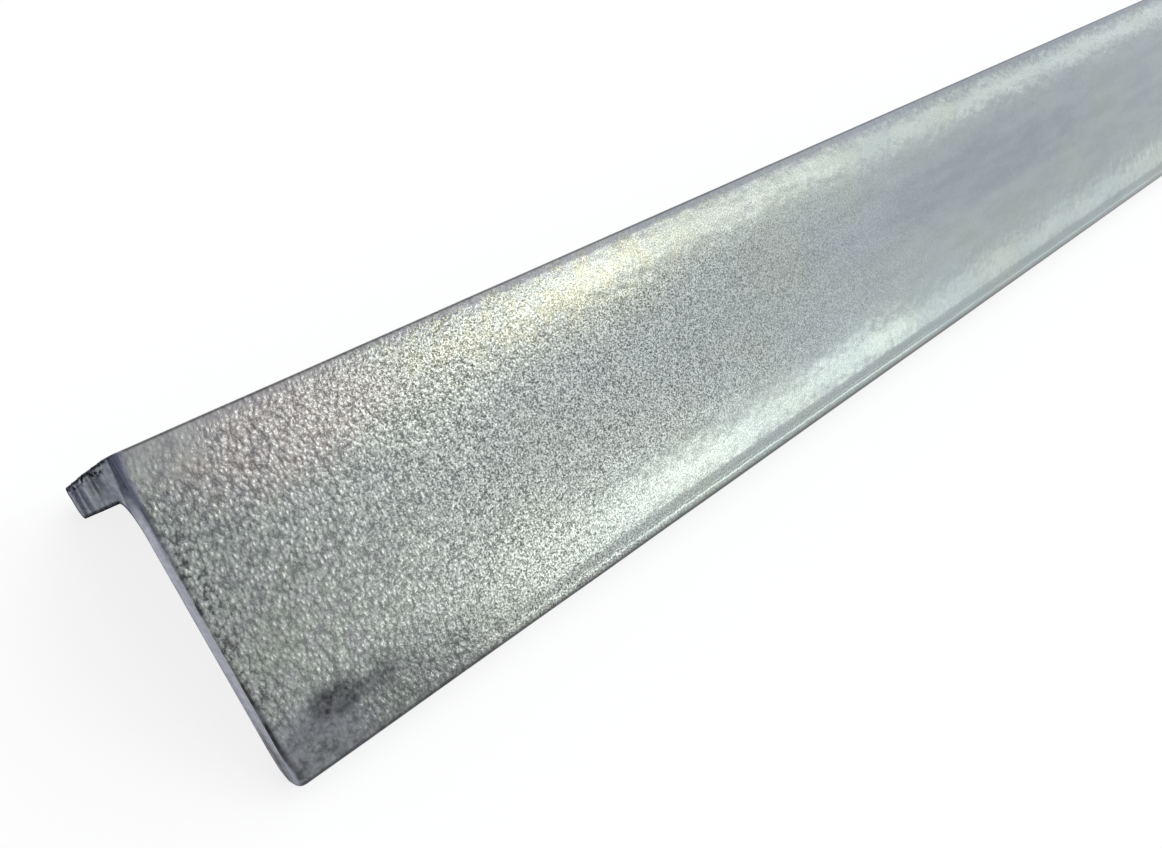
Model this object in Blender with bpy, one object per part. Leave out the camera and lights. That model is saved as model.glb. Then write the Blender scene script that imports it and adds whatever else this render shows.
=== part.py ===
# Equal-leg angle bar of hot-rolled steel, hot-dip galvanised, one retail length with both ends cut.
#
# The bar lies as it rests on a level floor: heel up, on the rounded toes of its two legs.
# The bar's length runs along X, and the -X end is the cropped one. The front leg slopes down
# towards -Y and the back leg towards +Y. The origin is at the bottom centre of the bar.
# Units are metres, +Z is up.

import math

import bmesh
import bpy
from mathutils import Vector

# Driving dimensions of the rolled section
LEG = 0.050                  # width of each leg, from the heel's sharp corner to the toe
THICKNESS = 0.006            # thickness of both legs
ROOT_RADIUS = 0.0055         # fillet between the legs' inner faces
TOE_RADIUS = 0.003           # rounding of each toe on its inner side
HEEL_EASING = 0.0006         # slight rounding that the rolls leave on the heel
TOE_EDGE_RADIUS = 0.0013     # smaller rounding of each toe on its outer side

# Driving dimensions of the cut length
LENGTH = 1.000               # overall length of the bar
CROP_LEAN_FRONT = math.radians(1.0)    # the cropped end falls back by this angle along the front leg
CROP_LEAN_BACK = math.radians(0.6)     # and stands out by this angle along the back leg
CROP_EASING = 0.0002         # rounding that the shear leaves all round the cropped face
CROP_DRAW_HEEL = 0.0002      # how far the shear also draws the outer skin back near the heel
CROP_DRAW_TOE = 0.0008       # and near the toes
CROP_FIRST_CREST = 0.012     # that drawn edge is wavy: its first crest lies this far from the heel
CROP_WAVE_LENGTH = 0.029     # and its crests lie this far apart
CROP_CORNER_DRAW = 0.0006    # further draw right at the heel
CROP_CORNER_REACH = 0.006    # which fades out this far from it
SAW_EASING = 0.0003          # small chamfer filed on the square, sawn end

# Fineness of the model
ROOT_SEGMENTS = 12
TOE_SEGMENTS = 9             # an odd count puts a level facet at the foot of each leg
TOE_EDGE_SEGMENTS = 5
HEEL_SEGMENTS = 3
STATION = 0.0025             # spacing of the section's points along its straight stretches

# Hot-dip zinc, weathered to a light grey
ZINC_COLOUR = (0.42, 0.44, 0.43, 1.0)
ZINC_ROUGHNESS = 0.45

MERGE_DISTANCE = 0.00001
QUARTER_TURN = math.radians(90.0)
HEEL_UP = math.radians(-45.0)


def clear_scene():
    """Remove every object of the open file."""
    for old in list(bpy.data.objects):
        bpy.data.objects.remove(old, do_unlink=True)


def section_corners():
    """Sharp corners of the section, the radius at each, and the segments of its arc.

    The first coordinate runs from the heel along the front leg, the second along the back leg.
    """
    return [
        (Vector((0.0, 0.0)), HEEL_EASING, HEEL_SEGMENTS),
        (Vector((LEG, 0.0)), TOE_EDGE_RADIUS, TOE_EDGE_SEGMENTS),
        (Vector((LEG, THICKNESS)), TOE_RADIUS, TOE_SEGMENTS),
        (Vector((THICKNESS, THICKNESS)), ROOT_RADIUS, ROOT_SEGMENTS),
        (Vector((THICKNESS, LEG)), TOE_RADIUS, TOE_SEGMENTS),
        (Vector((0.0, LEG)), TOE_EDGE_RADIUS, TOE_EDGE_SEGMENTS),
    ]


def corner_arc(before, corner, after, radius, segments):
    """Points of the arc that rounds one square corner, from the incoming side to the outgoing one."""
    towards_before = (before - corner).normalized()
    towards_after = (after - corner).normalized()
    centre = corner + radius * (towards_before + towards_after)
    points = []
    for step in range(segments + 1):
        turn = QUARTER_TURN * step / segments
        points.append(centre - radius * (math.cos(turn) * towards_after + math.sin(turn) * towards_before))
    return points


def straight_stations(start, end):
    """Evenly spaced points strictly between the ends of a straight stretch."""
    count = max(1, math.ceil((end - start).length / STATION))
    return [start.lerp(end, step / count) for step in range(1, count)]


def section_outline():
    """The whole outline of the section, in order round its edge."""
    corners = section_corners()
    arcs = []
    for index, (corner, radius, segments) in enumerate(corners):
        before = corners[index - 1][0]
        after = corners[(index + 1) % len(corners)][0]
        arcs.append(corner_arc(before, corner, after, radius, segments))
    outline = []
    for index, arc in enumerate(arcs):
        following = arcs[(index + 1) % len(arcs)]
        outline.extend(arc)
        outline.extend(straight_stations(arc[-1], following[0]))
    return outline


def heel_height():
    """Height of the heel's sharp corner when the middle facet of each toe's rounding lies on the floor."""
    to_toe_centre = (LEG - TOE_RADIUS + THICKNESS - TOE_RADIUS) * math.cos(HEEL_UP)
    half_facet = QUARTER_TURN / (2 * TOE_SEGMENTS)
    return to_toe_centre + TOE_RADIUS * math.cos(half_facet)


def extrude_section(name, collection):
    """Draw the section as a filled flat curve and give it half the bar's length each way."""
    curve = bpy.data.curves.new(name, "CURVE")
    curve.dimensions = "2D"
    curve.fill_mode = "BOTH"
    curve.extrude = LENGTH / 2
    spline = curve.splines.new("POLY")
    outline = section_outline()
    spline.points.add(len(outline) - 1)
    for point, place in zip(spline.points, outline):
        point.co = (place.x, place.y, 0.0, 1.0)
    spline.use_cyclic_u = True

    bar = bpy.data.objects.new(name, curve)
    collection.objects.link(bar)
    # The section turns heel up in its own plane first, and its axis then swings round to +X.
    bar.rotation_mode = "ZYX"
    bar.rotation_euler = (0.0, QUARTER_TURN, HEEL_UP)
    bar.location.z = heel_height()
    return bar


def as_mesh_object(bar, collection):
    """Turn the extruded curve into a mesh object in the same place, with its caps welded on."""
    bpy.context.view_layer.update()
    evaluated = bar.evaluated_get(bpy.context.evaluated_depsgraph_get())
    mesh = bpy.data.meshes.new_from_object(evaluated)
    placed = bar.matrix_world.copy()
    name = bar.name
    bpy.data.objects.remove(bar, do_unlink=True)

    solid = bpy.data.objects.new(name, mesh)
    solid.matrix_world = placed
    collection.objects.link(solid)
    return solid


def cap_at(bm, level):
    """Join the triangles of the cap at one end into a single face, and return it."""
    tolerance = MERGE_DISTANCE
    triangles = [
        face for face in bm.faces
        if all(abs(vert.co.z - level) < tolerance for vert in face.verts)
    ]
    return bmesh.ops.dissolve_faces(bm, faces=triangles)["region"][0]


def ease_cap(bm, cap, width):
    """Inset the cap by a width and return the points of its outer ring, which stay on the skin."""
    ring = list(cap.verts)
    bmesh.ops.inset_individual(bm, faces=[cap], thickness=width, use_even_offset=True)
    return ring


def skin_draw(place):
    """How far the shear drew the skin back at a point of the section. The inner side stays undrawn."""
    from_heel = max(place.x, place.y)
    outside = max(0.0, 1.0 - min(place.x, place.y) / THICKNESS)
    reach = CROP_DRAW_HEEL + (CROP_DRAW_TOE - CROP_DRAW_HEEL) * from_heel / LEG
    swell = 0.5 + 0.5 * math.cos(2 * math.pi * (from_heel - CROP_FIRST_CREST) / CROP_WAVE_LENGTH)
    at_corner = CROP_CORNER_DRAW * max(0.0, 1.0 - from_heel / CROP_CORNER_REACH) ** 2
    return outside * (reach * swell + at_corner)


def crop_near_end(bm):
    """Lean the near end out of square and roll its edge over, as a shear leaves it."""
    cap = cap_at(bm, -LENGTH / 2)
    ring = ease_cap(bm, cap, CROP_EASING)
    for vert in ring:
        vert.co.z += CROP_EASING + skin_draw(vert.co)
    near = [vert for vert in bm.verts if vert.co.z < 0.0]
    stands_out = LEG * math.tan(CROP_LEAN_BACK)
    for vert in near:
        falls_back = vert.co.x * math.tan(CROP_LEAN_FRONT) - vert.co.y * math.tan(CROP_LEAN_BACK)
        vert.co.z += stands_out + falls_back


def saw_far_end(bm):
    """Give the square far end its small chamfer."""
    cap = cap_at(bm, LENGTH / 2)
    ring = ease_cap(bm, cap, SAW_EASING)
    for vert in ring:
        vert.co.z -= SAW_EASING


def finish_ends(bar):
    """Weld the caps on and shape both cut ends."""
    bm = bmesh.new()
    bm.from_mesh(bar.data)
    bmesh.ops.remove_doubles(bm, verts=bm.verts, dist=MERGE_DISTANCE)
    crop_near_end(bm)
    saw_far_end(bm)
    bmesh.ops.recalc_face_normals(bm, faces=bm.faces)
    bm.to_mesh(bar.data)
    bm.free()


def zinc_material():
    """Dull hot-dip zinc over steel."""
    material = bpy.data.materials.new("galvanized_steel")
    material.use_nodes = True
    shader = material.node_tree.nodes["Principled BSDF"]
    shader.inputs["Base Color"].default_value = ZINC_COLOUR
    shader.inputs["Metallic"].default_value = 1.0
    shader.inputs["Roughness"].default_value = ZINC_ROUGHNESS
    return material


def make_angle_bar():
    """Build the bar in its own collection."""
    collection = bpy.data.collections.new("galvanized_angle_bar")
    bpy.context.scene.collection.children.link(collection)
    bar = as_mesh_object(extrude_section("angle_bar", collection), collection)
    finish_ends(bar)
    bar.data.materials.append(zinc_material())
    bar.data.shade_smooth()
    bar.data.set_sharp_from_angle(angle=math.radians(30.0))
    return bar


clear_scene()
make_angle_bar()
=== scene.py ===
# Looks of the galvanised steel angle bar: its zinc skin, its cut ends and the studio it is shown in.
#
# The bar lies heel up with its length along X, as the packed frame has it. In the section, "along" is
# the distance from the heel along one leg, and "across" is the depth under that leg's outer face.
# Lengths are metres, and millimetres in the patterns of the bar's materials.

import math
from functools import partial

import bmesh
import bpy
from bpy.props import FloatProperty, FloatVectorProperty, IntProperty, PointerProperty
from bpy.types import Operator, Panel, PropertyGroup
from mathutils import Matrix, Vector, noise


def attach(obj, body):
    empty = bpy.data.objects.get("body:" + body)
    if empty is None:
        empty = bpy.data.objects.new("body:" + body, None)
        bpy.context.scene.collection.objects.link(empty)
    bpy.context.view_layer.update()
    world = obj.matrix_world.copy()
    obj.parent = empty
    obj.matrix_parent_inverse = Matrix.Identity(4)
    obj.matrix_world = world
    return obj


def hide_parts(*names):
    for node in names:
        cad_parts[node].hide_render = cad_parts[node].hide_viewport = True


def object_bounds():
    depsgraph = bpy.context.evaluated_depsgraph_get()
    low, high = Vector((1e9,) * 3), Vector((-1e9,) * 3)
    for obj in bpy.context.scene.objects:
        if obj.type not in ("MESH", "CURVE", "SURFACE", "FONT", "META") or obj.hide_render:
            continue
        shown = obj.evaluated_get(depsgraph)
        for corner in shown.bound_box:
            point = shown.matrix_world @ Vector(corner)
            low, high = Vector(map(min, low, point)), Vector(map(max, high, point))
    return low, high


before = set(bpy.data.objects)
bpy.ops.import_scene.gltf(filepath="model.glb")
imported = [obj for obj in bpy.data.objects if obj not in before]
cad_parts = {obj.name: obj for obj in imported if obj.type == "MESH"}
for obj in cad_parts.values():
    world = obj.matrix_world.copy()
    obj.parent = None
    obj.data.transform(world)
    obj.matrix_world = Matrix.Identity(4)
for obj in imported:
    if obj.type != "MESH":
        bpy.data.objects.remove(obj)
cad_low, cad_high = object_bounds()

bl_info = {
    "name": "Galvanised Angle Bar",
    "version": (1, 0, 0),
    "blender": (4, 5, 0),
    "location": "View3D > Sidebar > Angle Bar",
    "description": "Models a hot-dip galvanised steel angle bar and the studio it is shown in",
    "category": "Object",
}

MM = 0.001
HALF = math.sqrt(0.5)
EIGHTH_TURN = math.radians(45.0)
WHITE = (1.0, 1.0, 1.0, 1.0)

# What the mesh carries for its materials
PLACE_ATTRIBUTE = "section_place"
RIM_ATTRIBUTE = "cut_rim"
CUT_SLOT = 1

# Points of the section's outline
ACROSS_CREASE = (-1.0, -0.5, 0.0, 0.5, 1.0)     # in half widths of the crease
DOWN_TOE = (1.0, 2 / 3, 1 / 3)                  # shares of the lower half of a toe's inner rounding
BULGE_FADE = 40                                 # how fast the toes' roundings die out across a cut face

# Fine relief of the mesh
RAG_WIDTH = 2.2 * MM                # waves of the drawn edge, with finer ones of a third of it
BURR_START = 4 * MM                 # the burr starts this far from the heel
BURR_WIDTH = 2.5 * MM               # width of its spikes
BURR_SPIKES = 1.6                   # their height, over that of the burr at the toe
BURR_AT_TOE = 3 * MM                # length of the burr at the toe
BURR_SLOPE = 3                      # the burr leans out by its height over this
DENT_DEPTH = 0.03 * MM              # soft unevenness of the skin
DENT_WIDTH = 15 * MM
RELIEF_FADE = 4                     # how fast crown and crease die out under an outer face
CREASE_FADE = (20 * MM, 55 * MM)    # distances from the cropped end over which the crease begins
STREAK_LENGTH = 14 * MM             # streaks of the blade on the cropped face
STREAK_WIDTH = 2.6 * MM
RAG_SEED = 3 * MM                   # places across the noise, so that its patterns differ
BURR_SEED = 7 * MM
STREAK_SEED = 0.3

# The studio
SOFTBOX_DISTANCE = 1.0
STRIP_PLACES = (0.36, 0.95, 1.42, 3.40)     # where the strips' parts meet, from the cropped end
# Each strip light's width and colour, and the elevation and radiance of each of its parts
STRIPS = (
    ("heel_strip", 0.042, "fdfff8", ((47.0, 4.0), (47.1, 2.2), (46.7, 1.15))),
    ("toe_strip", 0.056, "f7fdf7", ((25.1, 2.75), (25.0, 2.1), (24.4, 0.8))),
)
FLOOR_SIZE = 12.0
FLOOR_GLOW = 0.77
PAPER = "a3a3a3"
# Strength of the air by its direction, from 0 across the bar to 1 along +X
AIR_STEPS = (
    (0.0, 0.38), (0.10, 0.65), (0.19, 0.84), (0.30, 0.95), (0.42, 0.99), (0.57, 1.25),
    (0.71, 1.14), (0.81, 1.18), (0.88, 1.07), (0.93, 1.02), (0.97, 1.06))
AIR_HORIZON = (0.16, 0.04)                  # heights of a direction between which it turns white
AIR_COLOURS = ("fcfcfc", "ecf2fc")          # across the bar and along +X
AIR_COLOUR_CHANGE = (0.3, 0.95)

# The camera that was fitted to the photo, with its turn in degrees
FILM_WIDTH = 36.0
FOCAL_LENGTH = 29.565
CAMERA_RANGE = (0.01, 50.0)
CAMERA_PLACE = (-0.52014, -0.09606, 0.12678)
CAMERA_TURN = (47.0476, -5.1061, -43.3553)

# Recipes of shader nodes, each as its kind and settings
PLUS = ("ShaderNodeMath", {"operation": "ADD"})
MINUS = ("ShaderNodeMath", {"operation": "SUBTRACT"})
TIMES = ("ShaderNodeMath", {"operation": "MULTIPLY"})
TIMES_PLUS = ("ShaderNodeMath", {"operation": "MULTIPLY_ADD"})
LARGER = ("ShaderNodeMath", {"operation": "MAXIMUM"})
SMALLER = ("ShaderNodeMath", {"operation": "MINIMUM"})
WITHOUT_SIGN = ("ShaderNodeMath", {"operation": "ABSOLUTE"})
CLAMPED_POWER = ("ShaderNodeMath", {"operation": "POWER", "use_clamp": True})
SCALE_EACH = ("ShaderNodeVectorMath", {"operation": "MULTIPLY"})
DISTANCE = ("ShaderNodeVectorMath", {"operation": "DISTANCE"})
SPLIT = ("ShaderNodeSeparateXYZ", {})
COORDINATES = ("ShaderNodeTexCoord", {})
STRETCH = ("ShaderNodeMapping", {})
NOISE = ("ShaderNodeTexNoise", {})
CELLS = ("ShaderNodeTexVoronoi", {"feature": "SMOOTH_F1"})
# A smooth change while a value goes from a start to an end: from 0 to 1, or between two results.
FADE = ("ShaderNodeMapRange", {"interpolation_type": "SMOOTHSTEP"})
BLEND = ("ShaderNodeMix", {"data_type": "RGBA"})
BETWEEN = ("ShaderNodeMix", {"data_type": "FLOAT"})
RAMP = ("ShaderNodeValToRGB", {})
LIGHTNESS = ("ShaderNodeRGBToBW", {})
RAY_KIND = ("ShaderNodeLightPath", {})
BUMP = ("ShaderNodeBump", {})
METAL = ("ShaderNodeBsdfPrincipled", {})
MATT = ("ShaderNodeBsdfDiffuse", {})
GLOW = ("ShaderNodeEmission", {})
BOTH_SHADERS = ("ShaderNodeAddShader", {})
AIR = ("ShaderNodeBackground", {})
AIR_OUTPUT = ("ShaderNodeOutputWorld", {})

# Sizes of the marks on the zinc and on the cut, in millimetres. Where there are three, they go along
# the front leg, along the back leg and along X.
WOBBLE_SIZE = 3.5           # uneven edges of patches
MOTTLE_SIZE = 1.1           # blotches inside them
DRIFT_SIZE = 22             # slow change from warm to cool zinc
SWELL_SIZE = 3.0            # soft swells of the zinc
DRAG_SIZES = (6, 6, 0.9)    # streaks down the leg, where the shear dragged the zinc
CLOUD_SIZES = (3.5, 3.5, 18)
STREAK_SIZES = (24, 5, 5)   # streaks of the blade, drawn out along the front leg
TEAR_SIZES = (0.8, 3.5, 3.5)
PER_MM = (1 / MM, 1 / MM, 1 / MM)
BEAD_STRETCH = 1.35         # length of a bead down the leg, over its width
SWELL_DEPTH = 0.04 * MM     # heights of bump in the materials are in metres
SCORE_DEPTH = 0.12 * MM

# Uneven ovals on the zinc, as a middle and radii in millimetres, in the same order
BRUISED_CORNER = ((46.5, 0, 4), (5.5, 3, 6.5))
STAIN_CORE = ((42.4, 0, 8.6), (2.5, 3, 4.8))
STAIN_BRANCH = ((43, 0, 15), (1.7, 3, 4.5))
DRAGGED_HEEL = ((0, 0, 3), (5.5, 5.5, 8.5))
GRIME_PATCH = ((46.5, 0, 14), (6, 3, 19))
# A warm tint painted where the heel strip's highlight falls, so that the highlight looks yellowish.
WARM_HIGHLIGHT_PATCH = ((5, 0, 70), (8, 4, 38))
ROSY_PATCH = ((6, 0, 21), (7, 4, 15))
DUSKY_PATCH = ((21, 0, 200), (6, 4, 55))
PATCH_EDGE = (2.1, 1.0)     # an oval fades out between these, as distances in radii plus the noise

# Bands across the back leg's cut, given in the same way
OUTER_BAND = ((1.5, 29, 0), (4.5, 2.5, 5))
ROOT_BAND = ((1.5, 9, 0), (4.5, 4, 5))
WIDE_BAND = ((1.5, 23, 0), (9, 9, 5))
DARK_BAND = ((1.5, 20, 0), (2, 5, 5))


def linear(hex_colour):
    """An sRGB hex colour such as "9aa3a0" as linear red, green, blue and alpha."""
    channels = [int(hex_colour[place:place + 2], 16) / 255 for place in (0, 2, 4)]
    return tuple(
        channel / 12.92 if channel <= 0.04045 else ((channel + 0.055) / 1.055) ** 2.4
        for channel in channels
    ) + (1.0,)


def smooth_step(low, high, value):
    """0 below low, 1 above high, and a smooth rise between them."""
    share = min(1.0, max(0.0, (value - low) / (high - low)))
    return share * share * (3 - 2 * share)


def metres(name, description, default):
    """A size that the user can change, in metres."""
    return FloatProperty(name=name, description=description, default=default, unit="LENGTH")


def tone(name, description, hex_colour):
    """A colour that the user can change, given as sRGB hex."""
    return FloatVectorProperty(
        name=name, description=description, default=linear(hex_colour), subtype="COLOR", size=4)


class SectionSizes(PropertyGroup):
    """Sizes of the rolled section."""

    leg: metres("Leg", "Width of each leg", 0.050)
    thickness: metres("Thickness", "Thickness of both legs", 0.006)
    root_radius: metres("Root radius", "Fillet between the inner faces", 0.0055)
    toe_radius: metres("Toe radius", "Rounding of the toes on their inner side", 0.003)
    toe_edge_radius: metres("Toe edge radius", "Rounding of the toes on their outer side", 0.0013)
    heel_easing: metres("Heel easing", "Rounding of the heel", 0.0006)
    crown: metres("Crown", "How far the middle of each outer face stands proud of its edges", 0.00018)
    crown_reach: metres("Crown reach", "Distance over which an outer face falls away to its edge", 0.012)
    crease_inset: metres("Crease inset", "Distance from the toe to the crease that the rolls leave", 0.0024)
    crease_width: metres("Crease width", "Half width of that crease", 0.0003)
    crease_depth: metres("Crease depth", "Depth of that crease", 0.00005)


class CutSizes(PropertyGroup):
    """Sizes of the cropped end and of the sawn end."""

    lean_front: FloatProperty(
        name="Lean of the front leg", description="How far the cropped end falls back along the front leg",
        default=math.radians(1.0), subtype="ANGLE")
    lean_back: FloatProperty(
        name="Lean of the back leg", description="How far the cropped end stands out along the back leg",
        default=math.radians(0.6), subtype="ANGLE")
    easing: metres("Cut easing", "Rounding that the shear leaves round the cropped face", 0.0002)
    draw_heel: metres("Draw at the heel", "How far the shear draws the outer skin back by the heel", 0.0002)
    draw_toe: metres("Draw at the toe", "How far the shear draws the outer skin back by the toes", 0.0008)
    first_crest: metres("First crest", "Distance from the heel to the drawn edge's first crest", 0.012)
    wave_length: metres("Wave length", "Distance between crests of the drawn edge", 0.029)
    corner_draw: metres("Corner draw", "Further draw right at the heel", 0.0006)
    corner_reach: metres("Corner reach", "Distance from the heel at which that draw fades out", 0.006)
    ragged: metres("Ragged edge", "Fine waviness of the drawn edge", 0.00012)
    burr: metres("Burr", "Height of the torn burr on the back leg's outer arris", 0.00035)
    streak_depth: metres("Streak depth", "Depth of the shear's streaks on the cropped face", 0.00003)
    toe_smear: metres("Toe smear", "Further rounding where the shear dragged the front toe's corner", 0.0009)
    toe_smear_reach: metres("Toe smear reach", "Distance over which that rounding fades out", 0.006)
    saw_easing: metres("Saw easing", "Chamfer of the square end", 0.0003)


class MeshFineness(PropertyGroup):
    """How fine the visual mesh is."""

    first_station: metres("First station", "Spacing of the rings beside the cropped end", 0.0004)
    station_growth: FloatProperty(
        name="Station growth", description="Growth of that spacing with the distance from the end",
        default=0.010)
    last_station: metres("Last station", "Widest spacing of the rings", 0.005)
    face_step: metres("Face step", "Spacing of the points across the flat faces", 0.0011)
    heel_arc_steps: IntProperty(
        name="Heel arc steps", description="Faces on each half of the heel's rounding", default=3)
    edge_arc_steps: IntProperty(
        name="Edge arc steps", description="Faces on each half of a toe's outer rounding", default=5)
    rounding_steps: IntProperty(
        name="Rounding steps", description="Faces on the rounding of the cropped edge", default=4)


class ZincFinish(PropertyGroup):
    """Colours and grain of the zinc skin."""

    zinc: tone("Zinc", "Main tone of the skin", "9ea59f")
    warm: tone("Warm tint", "Yellowish patches", "a7a693")
    cool: tone("Cool tint", "Bluish patches", "9aa2a2")
    lilac: tone("Lilac tint", "Faint lilac patches near the cropped end", "9d9ca2")
    dusk: tone("Dusky tint", "Dull lilac patch on the leg, and blotches by the heel", "8a8c96")
    rosy: tone("Rosy tint", "Faint rosy patch near the heel and the cropped end", "aca4a2")
    # Pale zinc, also used as painted highlight on the bead tops and on the lip line.
    bright: tone("Bright", "Tops of the beads", "ced2cd")
    # Dark tone of the stains, also used as painted shade in the pits and hollows.
    soot_and_shade: tone("Soot", "Dark tone of pits and stains", "35353b")
    # Painted shade: this dark colour stands in for shade on the toes' outer edges, the heel line and the
    # rollovers.
    arris: tone("Arris", "Slate tone of the bar's edges", "26282d")
    # Painted glints: a near-white colour on the highest bead tops.
    painted_glint: tone("Fleck", "Sparse glints of clean zinc", "e6e8e4")
    bead_size: metres("Bead size", "Width of one bead of frozen zinc", 0.66 * MM)
    bead_depth: metres("Bead depth", "Height of the beads", 0.095 * MM)
    grit_size: metres("Grit size", "Width of the fine grit on the beads", 0.305 * MM)
    grit_depth: metres("Grit depth", "Height of the fine grit", 0.012 * MM)
    roughness: FloatProperty(
        name="Roughness", description="Roughness of the clean skin", default=0.14, subtype="FACTOR")


class CutFinish(PropertyGroup):
    """Colours of the cut ends."""

    pale: tone("Pale streaks", "Lightest streaks of the cut", "8d959c")
    lilac: tone("Lilac steel", "Tone of the front leg's cut", "9ea0b0")
    # Partly painted shade: the back leg's cut is darker because its reflection sees the shaded floor under
    # the bar.
    slate: tone("Slate", "Tone of the back leg's cut", "3f4a63")
    dark: tone("Dark rim", "Torn and shaded edges of the cut", "1c1e26")
    roughness: FloatProperty(
        name="Roughness", description="Roughness of the cut", default=0.42, subtype="FACTOR")


def rounded(centre, radius, turn):
    """A point on a rounding. The turn starts where the rounding meets the leg's face and ends at the toe."""
    along, across, side = centre
    return along + radius * math.sin(turn), across - side * radius * math.cos(turn)


def toe_centres(section):
    """Centres of a toe's outer and inner rounding, each as (along, across, side)."""
    outer = (section.leg - section.toe_edge_radius, section.toe_edge_radius, 1)
    inner = (section.leg - section.toe_radius, section.thickness - section.toe_radius, -1)
    return outer, inner


def toe_points(section, fineness):
    """Points down a toe, from the middle of its outer rounding to the middle of its inner one."""
    edge_centre, toe_centre = toe_centres(section)
    down = []
    for index in range(fineness.edge_arc_steps):
        turn = EIGHTH_TURN * (1 + (index + 1) / fineness.edge_arc_steps)
        down.append(rounded(edge_centre, section.toe_edge_radius, turn))
    down.append((section.leg, (section.toe_edge_radius + section.thickness - section.toe_radius) / 2))
    for share in DOWN_TOE:
        down.append(rounded(toe_centre, section.toe_radius, EIGHTH_TURN * (1 + share)))
    return down


def leg_columns(section, fineness):
    """Outer points of one leg, from the mitre at the heel to its toe, and inner points matched to them.

    Each point is (along, across).
    """
    leg, thick = section.leg, section.thickness
    root, toe = section.root_radius, section.toe_radius
    ease, edge = section.heel_easing, section.toe_edge_radius
    outer, inner = [], []

    for index in range(fineness.heel_arc_steps):
        turn = EIGHTH_TURN * (1 + index / fineness.heel_arc_steps)
        outer.append((ease - ease * math.cos(turn), ease - ease * math.sin(turn)))
    root_end = thick + root
    near_heel_steps = round((root_end - ease) / fineness.face_step)
    for index in range(near_heel_steps):
        outer.append((ease + (root_end - ease) * index / near_heel_steps, 0.0))
    for along, _ in outer:
        turn = EIGHTH_TURN * (1 + along / root_end)
        inner.append((root_end - root * math.cos(turn), root_end - root * math.sin(turn)))

    toe_start = leg - toe
    flat_steps = round((toe_start - root_end) / fineness.face_step)
    for index in range(flat_steps):
        along = root_end + (toe_start - root_end) * index / flat_steps
        outer.append((along, 0.0))
        inner.append((along, thick))

    crease = leg - section.crease_inset
    for share in ACROSS_CREASE:
        outer.append((crease + share * section.crease_width, 0.0))
    edge_centre, toe_centre = toe_centres(section)
    for index in range(fineness.edge_arc_steps + 1):
        outer.append(rounded(edge_centre, edge, EIGHTH_TURN * index / fineness.edge_arc_steps))
    toe_steps = len(outer) - len(inner)
    for index in range(toe_steps):
        inner.append(rounded(toe_centre, toe, EIGHTH_TURN * (index + 1) / toe_steps))
    return outer, inner


class Loop:
    """The section's outline as a closed ring of points, each as (front, back) distances from the heel."""

    def __init__(self, section, fineness):
        outer, inner = leg_columns(section, fineness)
        down = toe_points(section, fineness)
        front = [(along, across) for along, across in reversed(outer)]
        back = [(across, along) for along, across in outer[1:]]
        back_toe = [(across, along) for along, across in down]
        back_inner = [(across, along) for along, across in reversed(inner)]
        front_inner = [(along, across) for along, across in inner[1:]]
        front_toe = [(along, across) for along, across in reversed(down)]
        pairs = front + back + back_toe + back_inner + front_inner + front_toe
        self.points = [Vector(pair) for pair in pairs]
        self.columns = len(outer) - 1
        self.across = len(down) + 1
        self.normals = self.outward_normals()

    def outward_normals(self):
        """Unit normals that point out of the metal, from each point's two neighbours."""
        normals = []
        count = len(self.points)
        for index in range(count):
            tangent = self.points[(index + 1) % count] - self.points[index - 1]
            normals.append(Vector((-tangent.y, tangent.x)).normalized())
        return normals


def heel_height(section):
    """Height of the heel's sharp corner above the floor, from the top of the packed frame."""
    return cad_high.z + section.heel_easing * (math.sqrt(2) - 1)


def in_world(section, x, front, back):
    """A point of the section, at a place along the bar, in the frame's axes."""
    return Vector((x, (back - front) * HALF, heel_height(section) - (front + back) * HALF))


def crop_plane(section, cut, point):
    """How far behind the foremost corner the cropped end lies at a point of the section."""
    stands_out = section.leg * math.tan(cut.lean_back)
    return stands_out + point.x * math.tan(cut.lean_front) - point.y * math.tan(cut.lean_back)


def outside_share(section, point):
    """1 on the outer faces, falling to 0 on the inner ones."""
    return max(0.0, 1.0 - min(point.x, point.y) / section.thickness)


def skin_draw(section, cut, point):
    """How far the shear drew the skin back at a point of the section: most outside and at the toes."""
    from_heel = max(point.x, point.y)
    reach = cut.draw_heel + (cut.draw_toe - cut.draw_heel) * from_heel / section.leg
    swell = 0.5 + 0.5 * math.cos(2 * math.pi * (from_heel - cut.first_crest) / cut.wave_length)
    at_corner = cut.corner_draw * max(0.0, 1.0 - from_heel / cut.corner_reach) ** 2
    broad = noise.noise(Vector((point.x, point.y, 0.0)) / RAG_WIDTH)
    fine = noise.noise(Vector((point.x, point.y, RAG_SEED)) / (RAG_WIDTH / 3))
    drawn = outside_share(section, point) * (reach * swell + at_corner)
    return drawn + cut.ragged * (broad + fine / 2)


def cut_easing(section, cut, point):
    """Rounding of the cropped edge at a point of the section, wider where the front toe is smeared."""
    return cut.easing + cut.toe_smear * smooth_step(section.leg - cut.toe_smear_reach, section.leg, point.x)


def burr_height(section, cut, point):
    """Height of the torn burr at a point: none but on the back leg's outer arris, in separate spikes."""
    if point.y < BURR_START or point.x > section.toe_edge_radius:
        return 0.0
    tear = noise.noise(Vector((0.0, point.y, BURR_SEED)) / BURR_WIDTH)
    at_toe = max(0.0, 1.0 - (section.leg - point.y) / BURR_AT_TOE)
    return cut.burr * (max(0.0, tear) * BURR_SPIKES + at_toe)


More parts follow.
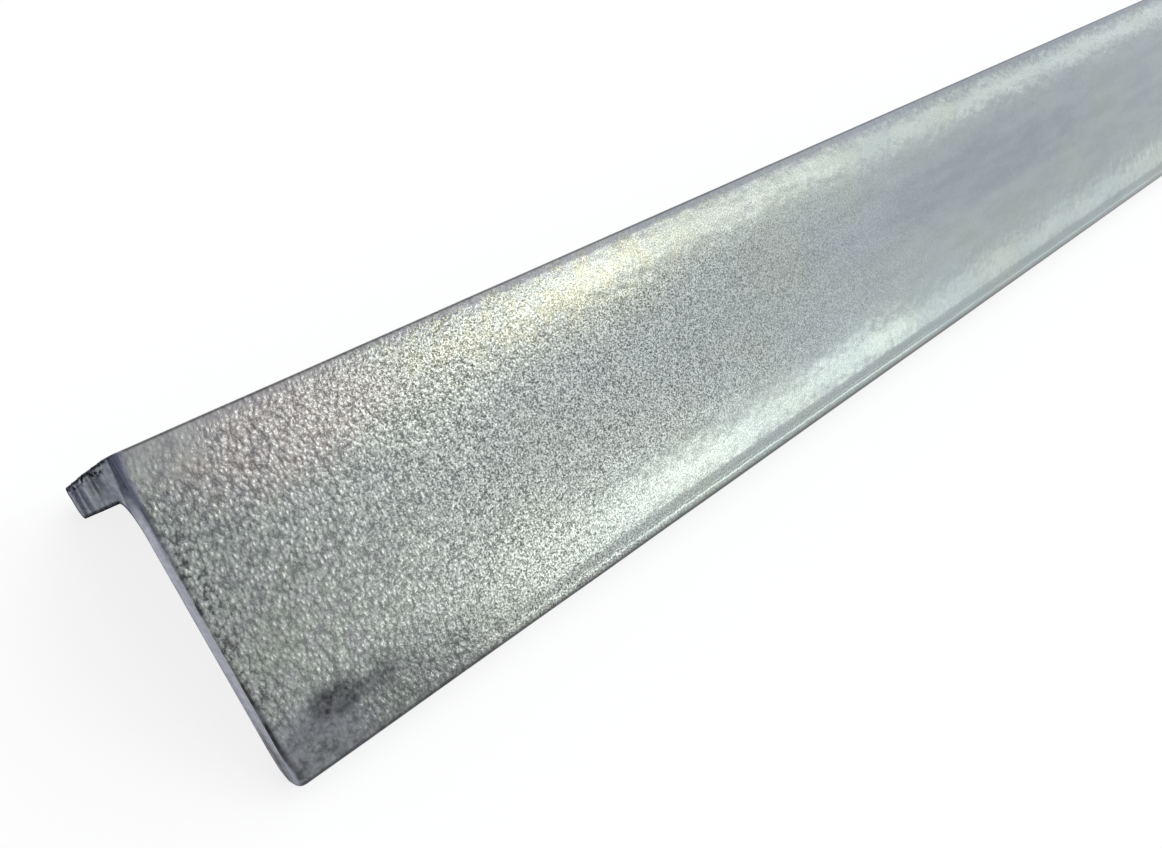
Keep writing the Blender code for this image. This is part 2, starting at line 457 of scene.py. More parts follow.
def face_relief(section, point, x):
    """How far the skin stands proud of its nominal place: crown, crease and a soft unevenness."""
    from_heel = max(point.x, point.y)
    at_heel = max(0.0, 1.0 - from_heel / section.crown_reach) ** 2
    from_toe = max(0.0, section.leg - from_heel)
    at_toe = max(0.0, 1.0 - from_toe / section.crown_reach) ** 2
    in_crease = max(0.0, 1.0 - abs(from_toe - section.crease_inset) / section.crease_width)
    outside = outside_share(section, point) ** RELIEF_FADE
    place = Vector((x, point.x, point.y))
    swell = DENT_DEPTH * noise.noise(place / DENT_WIDTH)
    crown = section.crown * (1.0 - at_heel - at_toe)
    crease = section.crease_depth * in_crease * smooth_step(*CREASE_FADE, x - cad_low.x)
    return outside * (crown - crease) + swell


def streak_height(front, back):
    """Height of the blade's streaks, which run along the front leg and across the back one."""
    return noise.noise(Vector((front / STREAK_LENGTH, back / STREAK_WIDTH, STREAK_SEED)))


def station_distances(length, fineness):
    """Distances of the rings from the cropped end, close together there and wider further on."""
    distances = []
    distance = fineness.first_station
    while distance < length:
        distances.append(distance)
        spacing = fineness.first_station + fineness.station_growth * distance
        distance += min(spacing, fineness.last_station)
    return distances


class BarMesh:
    """The bar's mesh while it is built, with the values that its materials read."""

    def __init__(self, section, cut, fineness):
        self.section = section
        self.cut = cut
        self.fineness = fineness
        self.saw_start = cad_high.x - cut.saw_easing
        self.loop = Loop(section, fineness)
        self.bm = bmesh.new()
        self.place_layer = self.bm.verts.layers.float_vector.new(PLACE_ATTRIBUTE)
        self.rim_layer = self.bm.verts.layers.float.new(RIM_ATTRIBUTE)

    def crop_stand(self, turn, point):
        """A point's x, inset and distance from the cut, after a turn over the cropped edge's rounding.

        The rim doesn't pass the packed solid's end.
        """
        easing = cut_easing(self.section, self.cut, point)
        depth = easing + skin_draw(self.section, self.cut, point)
        burr = burr_height(self.section, self.cut, point) * math.cos(turn) ** 2
        end = cad_low.x + crop_plane(self.section, self.cut, point)
        x = end + depth * (1 - math.cos(turn)) - burr
        inset = easing * (1 - math.sin(turn)) - burr / BURR_SLOPE - face_relief(self.section, point, x)
        return max(cad_low.x, x), inset, depth * (math.sin(turn) - 1)

    def body_stand(self, share, point):
        """The same for a point that lies a share of the way from the cropped edge to the sawn one."""
        end = cad_low.x + crop_plane(self.section, self.cut, point)
        begin = end + cut_easing(self.section, self.cut, point)
        begin += skin_draw(self.section, self.cut, point)
        x = begin + (self.saw_start - begin) * share
        return x, -face_relief(self.section, point, x), x - begin

    def saw_stand(self, point):
        """The same for a point on the rim of the sawn face."""
        inset = self.cut.saw_easing - face_relief(self.section, point, cad_high.x)
        return cad_high.x, inset, cad_high.x - cad_low.x

    def stands(self):
        """How each ring's points stand, with the ring's rim value, from the cropped face to the sawn one."""
        for step in range(self.fineness.rounding_steps + 1):
            rolled = step / self.fineness.rounding_steps
            yield partial(self.crop_stand, 2 * EIGHTH_TURN * rolled), 1 - rolled
        length = self.saw_start - cad_low.x
        for distance in station_distances(length, self.fineness) + [length]:
            yield partial(self.body_stand, distance / length), 0.0
        yield self.saw_stand, 1.0

    def add_ring(self, stand, rim):
        """One ring of points round the section."""
        ring = []
        for point, normal in zip(self.loop.points, self.loop.normals):
            x, inset, from_cut = stand(point)
            moved = point - normal * inset
            vert = self.bm.verts.new(in_world(self.section, x, moved.x, moved.y))
            vert[self.place_layer] = (point.x, point.y, from_cut)
            vert[self.rim_layer] = rim
            ring.append(vert)
        return ring

    def bridge(self, first, second):
        """Quads between two rings of points."""
        count = len(first)
        for index in range(count):
            after = (index + 1) % count
            self.bm.faces.new((first[index], first[after], second[after], second[index]))

    def section_place(self, place):
        """Distances of a world point from the heel along the front and the back leg."""
        total = (heel_height(self.section) - place.z) / HALF
        apart = place.y / HALF
        return (total - apart) / 2, (total + apart) / 2

    def grid_row(self, outer, inner, toes, down, streak_depth):
        """One row of the grid over a cut face, from toe to toe, a share down from outside to inside.

        Close to a toe, the row's points move out with that toe's rounding.
        """
        length = len(outer) - 1
        row = [toes[0]]
        for column in range(1, length):
            side = column / length
            toe, end, share = (toes[0], 0, 1 - side) if side < 0.5 else (toes[1], -1, side)
            between = outer[column].co.lerp(inner[column].co, down)
            bulge = toe.co - outer[end].co.lerp(inner[end].co, down)
            vert = self.bm.verts.new(between + bulge * share ** BULGE_FADE)
            front, back = self.section_place(vert.co)
            vert[self.place_layer] = (front, back, 0.0)
            vert.co.x += streak_depth * streak_height(front, back)
            row.append(vert)
        return row + [toes[1]]

    def fill_end(self, ring, streak_depth):
        """Fill a cut end with a grid of quads that follows both legs, and give it the blade's streaks.

        The ring's points run up the front leg's outside to the heel, along the back leg's outside, round
        the back toe, back along the inside, and round the front toe.
        """
        length, across = 2 * self.loop.columns, self.loop.across
        outer = ring[:length + 1]
        back_toe = ring[length + 1:length + across]
        inner = list(reversed(ring[length + across:2 * length + across + 1]))
        front_toe = list(reversed(ring[2 * length + across + 1:]))
        rows = [outer]
        for step, toes in enumerate(zip(front_toe, back_toe), start=1):
            rows.append(self.grid_row(outer, inner, toes, step / across, streak_depth))
        rows.append(inner)
        for upper, lower in zip(rows, rows[1:]):
            for column in range(length):
                corners = (upper[column], upper[column + 1], lower[column + 1], lower[column])
                self.bm.faces.new(corners).material_index = CUT_SLOT

    def build(self):
        """Build the whole bar and give its mesh."""
        rings = [self.add_ring(stand, rim) for stand, rim in self.stands()]
        for ring, following in zip(rings, rings[1:]):
            self.bridge(ring, following)
        self.fill_end(rings[0], self.cut.streak_depth)
        self.fill_end(rings[-1], 0.0)
        for face in self.bm.faces:
            face.smooth = True
        bmesh.ops.recalc_face_normals(self.bm, faces=self.bm.faces)
        mesh = bpy.data.meshes.new("angle_bar_finished")
        self.bm.to_mesh(mesh)
        self.bm.free()
        return mesh


def add_node(tree, recipe, *inputs, **named):
    """Add a shader node by its kind and settings, and set or link its inputs.

    The inputs come in the order in which the node shows them, or by name. One that is a node is
    linked by the first output that it shows.
    """
    kind, settings = recipe
    node = tree.nodes.new(kind)
    for name, value in settings.items():
        setattr(node, name, value)
    shown = [socket for socket in node.inputs if socket.enabled]
    given = [*zip(shown, inputs), *((node.inputs[name], value) for name, value in named.items())]
    for socket, value in given:
        if isinstance(value, bpy.types.Node):
            value = next(output for output in value.outputs if output.enabled)
        if isinstance(value, bpy.types.NodeSocket):
            tree.links.new(value, socket)
        else:
            socket.default_value = value
    return node


def new_material(name):
    """An empty node material with its output, ready for a shader."""
    material = bpy.data.materials.new(name)
    material.use_nodes = True
    tree = material.node_tree
    tree.nodes.clear()
    return material, tree, tree.nodes.new("ShaderNodeOutputMaterial")


class BarSurface:
    """A metal surface of the bar while its nodes are laid out. All its lengths are in millimetres.

    front and back are a point's distances from the heel along the two legs, from_heel is the larger
    of them and depth the smaller. from_cut is the distance from the cropped end. rim is 1 on the edge
    of a cut face and falls to 0 over the rollover. The numbers of a FADE say between which two values
    something changes, and then what it is at each of them.
    """

    def __init__(self, name, finish):
        self.material, self.tree, self.output = new_material(name)
        self.add = partial(add_node, self.tree)
        self.finish = finish
        place = self.add(("ShaderNodeAttribute", {"attribute_name": PLACE_ATTRIBUTE})).outputs["Vector"]
        self.rim = self.add(("ShaderNodeAttribute", {"attribute_name": RIM_ATTRIBUTE})).outputs["Fac"]
        self.spot = self.add(SCALE_EACH, place, PER_MM)
        self.front, self.back, self.from_cut = self.add(SPLIT, self.spot).outputs
        self.from_heel = self.add(LARGER, self.front, self.back)
        self.depth = self.add(SMALLER, self.front, self.back)

    def joined(self, recipe, first, *others):
        """Several values joined one after another by one recipe, such as TIMES or LARGER."""
        for other in others:
            first = self.add(recipe, first, other)
        return first

    def drawn_out(self, sizes, **settings):
        """Noise with marks of one size along the front leg, one along the back leg and one along X."""
        drawn = self.add(STRETCH, Vector=self.spot, Scale=tuple(1 / size for size in sizes))
        return self.add(NOISE, Vector=drawn, Scale=1.0, **settings)

    def patch(self, uneven, oval, most=1.0):
        """A share inside an oval, given as (middle, radii), that falls from most to 0 past its edge."""
        middle, radii = oval
        scaled = self.add(SCALE_EACH, self.spot, tuple(1 / radius for radius in radii))
        centre = tuple(place / radius for place, radius in zip(middle, radii))
        away = self.add(PLUS, self.add(DISTANCE, scaled, centre), uneven)
        return self.add(FADE, away, *PATCH_EDGE, 0.0, most)

    def layered(self, base, layers):
        """A base colour with layers over it, each given as (share, tint)."""
        for share, tint in layers:
            base = self.add(BLEND, share, base, tint)
        return base

    def closed(self, colour, roughness, grazing, normal):
        """Close the material with its metal shader, and give it."""
        shader = self.add(METAL, **{
            "Base Color": colour, "Metallic": 1.0, "Roughness": roughness, "Specular Tint": grazing,
            "Normal": normal})
        self.tree.links.new(shader.outputs["BSDF"], self.output.inputs["Surface"])
        return self.material


class ZincSkin(BarSurface):
    """Hot-dip zinc over hot-rolled steel.

    The dip freezes into low beads with pits between them. Painted shade darkens the pits and hollows,
    and painted highlights and glints light the bead tops, so the skin looks like grained leather. The
    bump also glints where a bead faces the light. It is smeared flat and dull beside the cut.
    """

    def __init__(self, section, finish, cut_finish):
        super().__init__("hot_dip_zinc_on_rolled_steel", finish)
        self.leg = section.leg / MM
        self.cut_finish = cut_finish
        self.place = self.add(SCALE_EACH, self.add(COORDINATES).outputs["Object"], PER_MM)
        self.wobble = self.add(NOISE, Vector=self.place, Scale=1 / WOBBLE_SIZE, Detail=3.0)
        self.mottle = self.add(
            NOISE, Vector=self.place, Scale=1 / MOTTLE_SIZE, Detail=4.0, Roughness=0.6)
        self.drags = self.drawn_out(DRAG_SIZES, Detail=2.0)
        self.shape_grain()
        self.find_places()
        self.weigh_grain()

    def shape_grain(self):
        """Heights of the beads of frozen zinc, drawn out down the leg, and of the grit on them.

        Real grit is about a third of its size here. It is drawn coarser so that it shows.
        """
        width = self.finish.bead_size / MM
        length = BEAD_STRETCH * width
        drawn = self.add(STRETCH, Vector=self.spot, Scale=(1 / length, 1 / length, 1 / width))
        cells = self.add(CELLS, Vector=drawn, Scale=1.0, Smoothness=0.4)
        ripples = self.add(NOISE, Vector=drawn, Scale=1.5, Detail=1.0)
        domes = self.add(TIMES_PLUS, cells, -0.6, 0.55)
        self.beads = self.add(TIMES_PLUS, ripples, 0.5, domes)
        self.grit = self.add(
            NOISE, Vector=self.place, Scale=MM / self.finish.grit_size, Detail=2.0, Roughness=0.65)

    def find_places(self):
        """The bruised corner, the stain above it and the side of the heel, which the shear dragged."""
        self.corner = self.patch(self.wobble, BRUISED_CORNER)
        core = self.patch(self.wobble, STAIN_CORE)
        branch = self.patch(self.wobble, STAIN_BRANCH, 0.8)
        self.stain = self.add(LARGER, core, branch)
        self.heel_side = self.patch(self.wobble, DRAGGED_HEEL)

    def weigh_grain(self):
        """How strongly the beads and the grit show at each place."""
        add, from_cut, from_heel = self.add, self.from_cut, self.from_heel
        pressed = add(LARGER, self.corner, add(TIMES, self.heel_side, 0.85))
        unpressed = add(TIMES_PLUS, pressed, -0.65, 1.0)
        # The grain softens along the front leg. It comes back on the back leg and towards the sawn end.
        further_on = add(
            LARGER, add(FADE, from_cut, 370, 470, 0.0, 0.5), add(FADE, self.back, 8, 12, 0.0, 0.5))
        beaded_along = add(LARGER, further_on, add(FADE, from_cut, 25, 80, 1.0, 0.06))
        gritty_along = add(LARGER, further_on, add(FADE, from_cut, 70, 195, 1.0, 0.03))
        # The rolls rubbed the grit down towards the heel and the toe. It doesn't show beside the cut.
        rubbed = add(LARGER, add(FADE, from_heel, 12, 7, 0.0, 0.45), add(FADE, from_heel, 34, 40, 0.0, 0.6))
        unrubbed = add(TIMES_PLUS, rubbed, add(FADE, from_cut, 45, 85, 0.0, -1.0), 1.0)
        self.bead_strength = self.joined(
            TIMES, unpressed, beaded_along, add(FADE, from_heel, 18, 34, 1.0, 0.8),
            add(FADE, from_cut, 6, 18, 0.92, 1.0))
        self.grit_strength = self.joined(
            TIMES, unpressed, gritty_along, unrubbed, add(FADE, from_cut, 10, 45, 0.3, 1.0))

    def tints(self):
        """Layers of warm, cool, rosy, dusky and lilac zinc, and a warm tint painted into the heel strip's
        highlight.
        """
        add, finish, wobble = self.add, self.finish, self.wobble
        drift = add(NOISE, Vector=self.place, Scale=1 / DRIFT_SIZE, Detail=2.0)
        # Painted highlight colour: warm zinc where the heel strip's highlight falls.
        highlight_warmth = add(TIMES, self.patch(wobble, WARM_HIGHLIGHT_PATCH), add(FADE, wobble, 0.42, 0.6, 0.4, 1.0))
        by_end = add(TIMES, add(FADE, self.from_cut, 48, 8, 0.0, 0.5), add(FADE, wobble, 0.4, 0.65))
        return [
            (add(FADE, drift, 0.50, 0.70, 0.0, 0.25), finish.warm),
            (add(FADE, drift, 0.50, 0.32, 0.0, 0.45), finish.cool),
            (highlight_warmth, finish.warm),
            (self.patch(wobble, ROSY_PATCH, 0.85), finish.rosy),
            (self.patch(wobble, DUSKY_PATCH, 0.45), finish.dusk),
            (by_end, finish.lilac)]

    def shaded_pits_and_lit_tops(self):
        """Layers of painted shade in the pits and hollows, painted highlights on the bead tops, and a few
        painted glints.
        """
        add, beads, grit = self.add, self.beads, self.grit
        # The skin is cracked in places right beside the cut, and the painted shade in its hollows is darker
        # there.
        cracked = add(TIMES, add(FADE, self.from_cut, 4, 1), add(FADE, self.from_heel, 10, 16, 0.0, 0.38))
        hollows = add(FADE, beads, 0.47, 0.35, 0.0, add(PLUS, cracked, 0.5))
        pits = add(
            LARGER, add(TIMES, add(FADE, grit, 0.51, 0.35, 0.0, 0.88), self.grit_strength),
            add(TIMES, hollows, self.bead_strength))
        # Painted highlight: the tops of the grit and of the beads are lightened as if lit.
        tops = add(
            LARGER, add(TIMES, add(FADE, grit, 0.51, 0.63), self.grit_strength),
            add(TIMES, add(FADE, beads, 0.53, 0.62, 0.0, 0.45), self.bead_strength))
        # Painted glints on the highest bead tops.
        glints = add(TIMES, self.bead_strength, add(FADE, beads, 0.66, 0.75, 0.0, 0.8))
        return [(pits, self.finish.soot_and_shade), (tops, self.finish.bright), (glints, self.finish.painted_glint)]

    def soiling(self):
        """Layers of the bruised corner's lilac cast, and of its smears, the stain and the grime."""
        add, mottle = self.add, self.mottle
        smears = add(TIMES, self.corner, add(FADE, mottle, 0.34, 0.62, 0.70, 0.05))
        smudge = add(TIMES, self.stain, add(FADE, mottle, 0.3, 0.7, 0.95, 0.55))
        grime = add(
            TIMES, self.patch(self.wobble, GRIME_PATCH), add(FADE, mottle, 0.35, 0.65, 0.62, 0.25))
        soiled = self.joined(LARGER, smears, smudge, grime)
        return [(add(TIMES, self.corner, 0.4), self.cut_finish.lilac), (soiled, self.finish.soot_and_shade)]

    def clouds(self):
        """A layer of faint clouds, drawn out along the bar where its skin is smooth."""
        clouds = self.drawn_out(CLOUD_SIZES, Detail=3.0)
        smooth = self.add(FADE, self.from_cut, 70, 150)
        clouded = self.add(TIMES, smooth, self.add(FADE, clouds, 0.35, 0.65, 0.0, 0.12))
        return [(clouded, self.finish.bright)]

    def heel_layers(self):
        """Layers along the heel: blotches, a thin lilac strip, and soft streaks where it was dragged."""
        add, from_heel = self.add, self.from_heel
        blotched = self.joined(
            TIMES, add(FADE, self.mottle, 0.47, 0.60, 0.0, 0.6), add(FADE, from_heel, 5, 1),
            add(FADE, self.from_cut, 20, 50))
        uneven = add(TIMES_PLUS, self.wobble, 4.0, from_heel)
        streaked = add(TIMES, self.heel_side, add(FADE, self.drags, 0.35, 0.65, 0.0, 0.3))
        return [
            (blotched, self.finish.dusk),
            (add(FADE, uneven, 4.2, 2.6, 0.0, 0.5), self.finish.lilac),
            (streaked, self.finish.bright)]

    def painted_edge_shade(self):
        """A layer of painted shade on the outer edge of each toe and along the line of the heel."""
        add, from_heel = self.add, self.from_heel
        toe = add(
            TIMES, add(FADE, from_heel, self.leg - 1.3, self.leg - 0.3, 0.0, 0.95),
            add(FADE, self.depth, 1.6, 1.0))
        heel = add(FADE, from_heel, 0.5, 0.2, 0.0, 0.65)
        return [(add(LARGER, toe, heel), self.finish.arris)]

    def bared_steel(self, heel_rollover_shade):
        """Layers of the steel that the shear left bare by the heel beyond the rollover, and of painted shade
        in slate on the heel's rollover.
        """
        add, drags, steel = self.add, self.drags, self.cut_finish
        reach = add(FADE, self.from_heel, 0, 13, 1.1, 0.0)
        beyond = add(TIMES_PLUS, drags, 1.4, add(MINUS, self.from_cut, reach))
        bared = self.layered(steel.slate, [
            (add(FADE, self.from_heel, 0, 6, 0.65, 1.0), steel.lilac),
            (add(FADE, drags, 0.40, 0.62, 0.0, 0.15), steel.slate)])
        return [
            (add(FADE, beyond, 0.8, 0.1, 0.0, 0.9), bared),
            # Painted shade on the heel's rollover.
            (add(TIMES, heel_rollover_shade, 0.45), steel.slate)]

    def rolled_edge_light_and_shade(self, inner_rollover_shade):
        """Layers of the rolled edge: painted shade inside, and a broken line of painted shade and painted
        highlight low down outside.
        """
        add, rim, finish = self.add, self.rim, self.finish
        broken = self.joined(
            TIMES, add(FADE, self.front, 24, 36), add(FADE, self.front, 47, 42, 0.25, 1.0),
            add(FADE, self.wobble, 0.35, 0.60, 0.25, 1.0))
        return [
            # Painted shade on the inner rollover, then the lip's painted shade and painted highlight.
            (inner_rollover_shade, finish.arris),
            (add(TIMES, add(FADE, rim, 0.12, 0.40, 0.0, 0.8), broken), finish.arris),
            (add(TIMES, add(FADE, rim, 0.7, 0.9, 0.0, 0.8), broken), finish.bright)]

    def grazing_tint(self, inner_rollover_shade):
        """White, but dark where the rollovers carry painted shade, so that this shade holds even when they
        are seen almost edge on.
        """
        add, rim, front = self.add, self.rim, self.front
        upper = add(TIMES, add(FADE, rim, 0.05, 0.4, 0.0, 0.85), add(FADE, front, 34, 24))
        smeared = add(TIMES, add(FADE, rim, 0.3, 0.8, 0.0, 0.6), add(FADE, front, 41, 45))
        edges = self.joined(LARGER, inner_rollover_shade, upper, smeared)
        return self.layered(WHITE, [(edges, self.finish.arris)])

    def dullness(self, inner_rollover_shade, heel_rollover_shade):
        """Roughness of the skin, more where it is worn, stained or rolled over."""
        clean = self.finish.roughness
        dull = self.add(FADE, self.from_cut, 30, 85, clean + 0.05, clean)
        for share, more in ((self.stain, 0.15), (inner_rollover_shade, 0.3), (heel_rollover_shade, 0.3)):
            dull = self.add(TIMES_PLUS, share, more, dull)
        return dull

    def relief(self):
        """Soft swells, then the beads and the grit on them as far as each shows."""
        swells = self.add(NOISE, Vector=self.place, Scale=1 / SWELL_SIZE, Detail=1.0)
        normal = self.add(BUMP, Height=swells, Distance=SWELL_DEPTH)
        for height, depth, strength in (
                (self.beads, self.finish.bead_depth, self.bead_strength),
                (self.grit, self.finish.grit_depth, self.grit_strength)):
            normal = self.add(BUMP, Height=height, Distance=depth, Strength=strength, Normal=normal)
        return normal

    def build(self):
        """Put the whole material together and give it."""
        add, from_cut = self.add, self.from_cut
        # Masks of painted shade on the inner rollover and along the heel's rollover.
        inner = add(TIMES, add(FADE, self.depth, 3, 4, 0.0, 0.95), add(FADE, from_cut, 0.1, -0.02))
        by_heel = add(TIMES, add(FADE, from_cut, 0.25, 0.02), add(FADE, self.front, 20, 7))
        colour = self.layered(self.finish.zinc, [
            *self.tints(), *self.shaded_pits_and_lit_tops(), *self.soiling(), *self.clouds(),
            *self.heel_layers(), *self.painted_edge_shade(), *self.bared_steel(by_heel), *self.rolled_edge_light_and_shade(inner)])
        return self.closed(
            colour, self.dullness(inner, by_heel), self.grazing_tint(inner), self.relief())


class ShearedCut(BarSurface):
    """Steel sheared across: matt slate with the blade's streaks, torn dark edges, and painted shade on its
    rolled edges.
    """

    def __init__(self, finish):
        super().__init__("sheared_steel", finish)
        self.streaks = self.drawn_out(STREAK_SIZES, Detail=3.0, Roughness=0.5)
        self.tears = self.drawn_out(TEAR_SIZES, Detail=3.0)

    def bands(self):
        """Layers of lilac steel on the front leg, broad bands across the back one, and fine streaks."""
        finish = self.finish
        # The back leg's cut keeps the slate base, which is partly painted shade.
        layers = [(self.add(FADE, self.front, 4, 11), finish.lilac)]
        for oval, most, tint in (
                (OUTER_BAND, 0.55, finish.pale), (ROOT_BAND, 0.4, finish.pale),
                (WIDE_BAND, 0.35, finish.pale), (DARK_BAND, 0.6, finish.dark)):
            layers.append((self.patch(self.streaks, oval, most), tint))
        layers.append((self.add(FADE, self.streaks, 0.50, 0.66, 0.0, 0.45), finish.pale))
        layers.append((self.add(FADE, self.streaks, 0.50, 0.34, 0.0, 0.35), finish.dark))
        return layers

    def fan(self):
        """Layers of a pale and a dark streak that fan from the heel to the root."""
        add = self.add
        across = add(TIMES_PLUS, self.streaks, 0.8, add(TIMES_PLUS, self.front, -0.66, self.back))
        by_heel = add(FADE, self.front, 11, 8)
        layers = []
        for middle, half_width, tint in ((4.0, 1.5, self.finish.pale), (2.1, 0.9, self.finish.dark)):
            aside = add(WITHOUT_SIGN, add(MINUS, across, middle))
            layers.append((add(TIMES, by_heel, add(FADE, aside, half_width, 0.0, 0.0, 0.35)), tint))
        return layers

    def edges(self):
        """Layers of the dark edges: painted shade on the rolled ones, specks on the back leg's torn one, the
        smeared toe.
        """
        add, rim, front, back = self.add, self.rim, self.front, self.back
        root_rim = add(TIMES, rim, add(FADE, self.from_heel, 17, 11, 0.5, 1.0))
        inner = add(TIMES, add(FADE, root_rim, 0.35, 0.85, 0.0, 0.95), add(FADE, self.depth, 3, 4))
        outer = add(TIMES, add(FADE, rim, 0.1, 0.7, 0.0, 0.8), add(FADE, back, 3, 6))
        by_heel = add(TIMES, add(FADE, rim, 0.3, 0.9, 0.0, 0.4), add(FADE, front, 32, 22))
        # The rolled rims' darkness is painted shade.
        rolled = self.joined(LARGER, inner, outer, by_heel)
        specks = self.joined(
            TIMES, add(FADE, self.tears, 0.52, 0.56), add(FADE, front, 1.8, 0.8), add(FADE, back, 6, 12))
        smeared = add(TIMES, add(FADE, front, 36, 44, 0.0, 0.6), add(FADE, self.streaks, 0.7, 0.4))
        return [(share, self.finish.dark) for share in (rolled, specks, smeared)]

    def build(self):
        """Put the whole material together and give it."""
        add, roughness = self.add, self.finish.roughness
        colour = self.layered(self.finish.slate, [*self.bands(), *self.fan(), *self.edges()])
        # The grazing tint follows the colour, so scale, tears and the painted shade keep the cut dark
        # even when it is seen almost edge on.
        grazing = add(CLAMPED_POWER, add(TIMES, add(LIGHTNESS, colour), 4.2), 0.55)
        uneven = add(FADE, self.tears, 0.3, 0.7, roughness - 0.06, roughness + 0.12)
        return self.closed(colour, uneven, grazing, add(BUMP, Height=self.streaks, Distance=SCORE_DEPTH))


class ANGLEBAR_OT_bar(Operator):
    """Model the angle bar over its packed solid"""

    bl_idname = "angle_bar.make_bar"
    bl_label = "Make the angle bar"

    def execute(self, context):
        scene = context.scene
        mesh = BarMesh(scene.angle_section, scene.angle_cut, scene.angle_fineness).build()
        skin = ZincSkin(scene.angle_section, scene.angle_zinc, scene.angle_cut_finish)
        mesh.materials.append(skin.build())
        mesh.materials.append(ShearedCut(scene.angle_cut_finish).build())
        bar = bpy.data.objects.new(mesh.name, mesh)
        scene.collection.objects.link(bar)
        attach(bar, "root")
        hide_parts("angle_bar")
        return {"FINISHED"}


def softbox(name, over, elevation, size, radiance, colour):
    """A rectangular light whose long side runs along X, and which faces the heel line from -Y.

    over is how far along X its middle lies, elevation its angle above the floor as seen along X, and a
    radiance of 1 is white.
    """
    lamp = bpy.data.lights.new(name, "AREA")
    lamp.shape = "RECTANGLE"
    lamp.size, lamp.size_y = size
    lamp.energy = radiance * math.pi * size[0] * size[1]
    lamp.color = linear(colour)[:3]
    box = bpy.data.objects.new(name, lamp)
    heel = Vector((over, 0.0, cad_high.z))
    towards = Vector((0.0, -math.cos(elevation), math.sin(elevation)))
    box.location = heel + towards * SOFTBOX_DISTANCE
    box.rotation_mode = "QUATERNION"
    box.rotation_quaternion = (-towards).to_track_quat("-Z", "Y")
    box.visible_camera = False
    bpy.context.scene.collection.objects.link(box)


def strip_lights():
    """Two strips of light along the bar, which get weaker away from its cropped end."""
    for name, width, colour, parts in STRIPS:
        for (elevation, radiance), start, end in zip(parts, STRIP_PLACES, STRIP_PLACES[1:]):
            middle = cad_low.x + (start + end) / 2
            softbox(name, middle, math.radians(elevation), (end - start, width), radiance, colour)


def white_floor():
    """A wide sheet of white paper. It looks white to the camera and in the metal, and keeps shadows."""
    bpy.ops.mesh.primitive_plane_add(size=FLOOR_SIZE)
    floor = bpy.context.object
    floor.name = "studio_floor"
    material, tree, output = new_material("matt_white_paper")
    add = partial(add_node, tree)
    rays = add(RAY_KIND).outputs
    seen = add(LARGER, rays["Is Camera Ray"], rays["Is Glossy Ray"])
    seen = add(LARGER, seen, rays["Is Transmission Ray"])
    glow = add(GLOW, Color=WHITE, Strength=add(TIMES, seen, FLOOR_GLOW))
    both = add(BOTH_SHADERS, add(MATT, Color=linear(PAPER)), glow)
    tree.links.new(both.outputs["Shader"], output.inputs["Surface"])
    floor.data.materials.append(material)


def studio_air():
    """Soft light from all round: white at the horizon, grey overhead, and brighter towards +X."""
    world = bpy.data.worlds.new("studio_air")
    world.use_nodes = True
    tree = world.node_tree
    tree.nodes.clear()
    add = partial(add_node, tree)
    axes = add(SPLIT, add(COORDINATES).outputs["Generated"]).outputs
    room = add(RAMP, axes["X"])
    steps = room.color_ramp.elements
    for place, _ in AIR_STEPS[1:-1]:
        steps.new(place)
    for step, (place, strength) in zip(steps, AIR_STEPS):
        step.position = place
        step.color = (strength, strength, strength, 1.0)
    strength = add(BETWEEN, add(FADE, axes["Z"], *AIR_HORIZON), room, 1.0)
    colours = (linear(colour) for colour in AIR_COLOURS)
    colour = add(BLEND, add(FADE, axes["X"], *AIR_COLOUR_CHANGE), *colours)
    air = add(AIR, Color=colour, Strength=strength)
    tree.links.new(air.outputs["Background"], add(AIR_OUTPUT).inputs["Surface"])
    bpy.context.scene.world = world


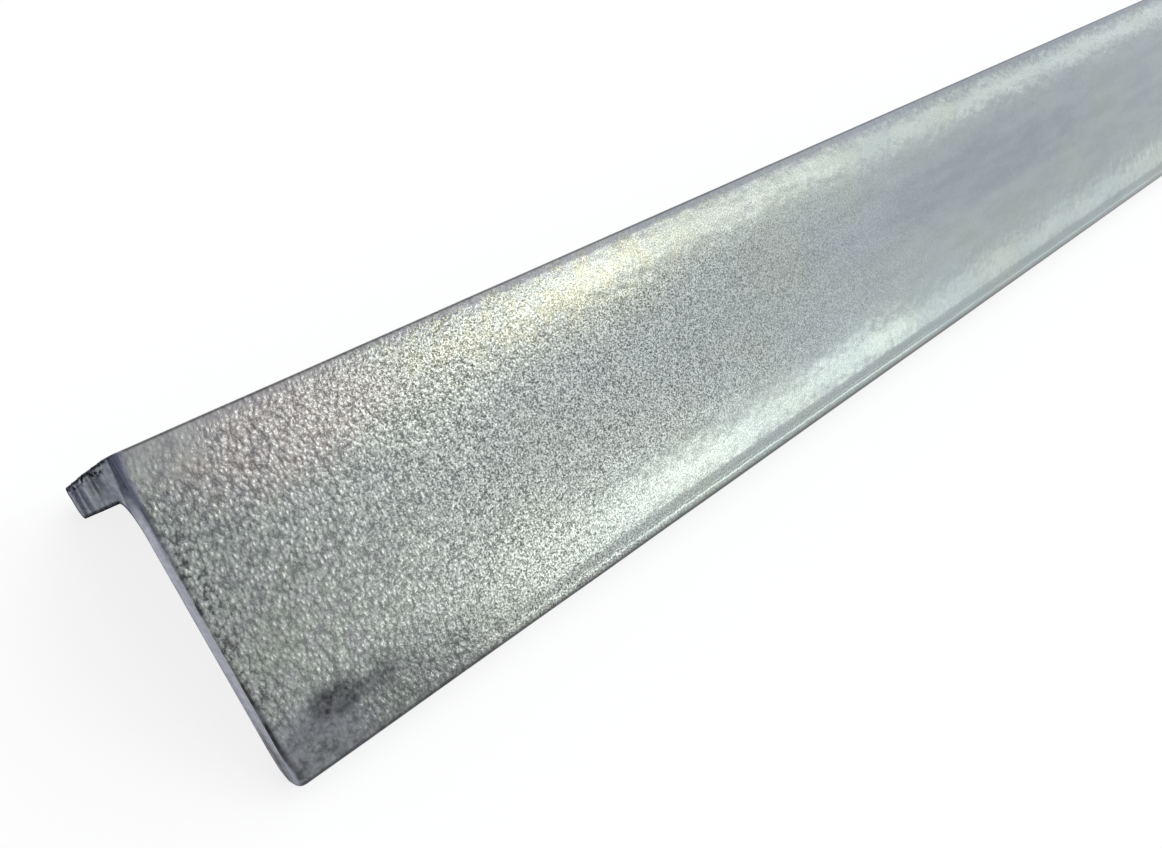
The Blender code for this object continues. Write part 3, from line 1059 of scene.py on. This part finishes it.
def photo_camera():
    """The camera that sees the bar as the photo does."""
    lens = bpy.data.cameras.new("photo_camera")
    lens.sensor_width = FILM_WIDTH
    lens.lens = FOCAL_LENGTH
    lens.clip_start, lens.clip_end = CAMERA_RANGE
    camera = bpy.data.objects.new("photo_camera", lens)
    camera.location = CAMERA_PLACE
    camera.rotation_euler = [math.radians(angle) for angle in CAMERA_TURN]
    bpy.context.scene.collection.objects.link(camera)
    return camera


class ANGLEBAR_OT_studio(Operator):
    """Set up the floor, the lights and the camera"""

    bl_idname = "angle_bar.make_studio"
    bl_label = "Make the studio"

    def execute(self, context):
        scene = context.scene
        scene.view_settings.view_transform = "Standard"
        white_floor()
        studio_air()
        strip_lights()
        scene.camera = photo_camera()
        return {"FINISHED"}


GROUPS = {
    "angle_section": SectionSizes,
    "angle_cut": CutSizes,
    "angle_fineness": MeshFineness,
    "angle_zinc": ZincFinish,
    "angle_cut_finish": CutFinish,
}


class ANGLEBAR_PT_sidebar(Panel):
    """Sizes, colours and buttons for the bar and its studio"""

    bl_label = "Angle Bar"
    bl_idname = "ANGLEBAR_PT_sidebar"
    bl_space_type = "VIEW_3D"
    bl_region_type = "UI"
    bl_category = "Angle Bar"

    def draw(self, context):
        for group_name, kind in GROUPS.items():
            box = self.layout.box()
            box.label(text=kind.__doc__)
            for name in kind.__annotations__:
                box.prop(getattr(context.scene, group_name), name)
        self.layout.operator(ANGLEBAR_OT_bar.bl_idname)
        self.layout.operator(ANGLEBAR_OT_studio.bl_idname)


CLASSES = (*GROUPS.values(), ANGLEBAR_OT_bar, ANGLEBAR_OT_studio, ANGLEBAR_PT_sidebar)


def register():
    for each in CLASSES:
        bpy.utils.register_class(each)
    for name, kind in GROUPS.items():
        setattr(bpy.types.Scene, name, PointerProperty(type=kind))


def unregister():
    for name in GROUPS:
        delattr(bpy.types.Scene, name)
    for each in reversed(CLASSES):
        bpy.utils.unregister_class(each)


def main():
    """Register the add-on and build everything in order."""
    register()
    bpy.ops.angle_bar.make_bar()
    bpy.ops.angle_bar.make_studio()


if __name__ == "__main__":
    main()
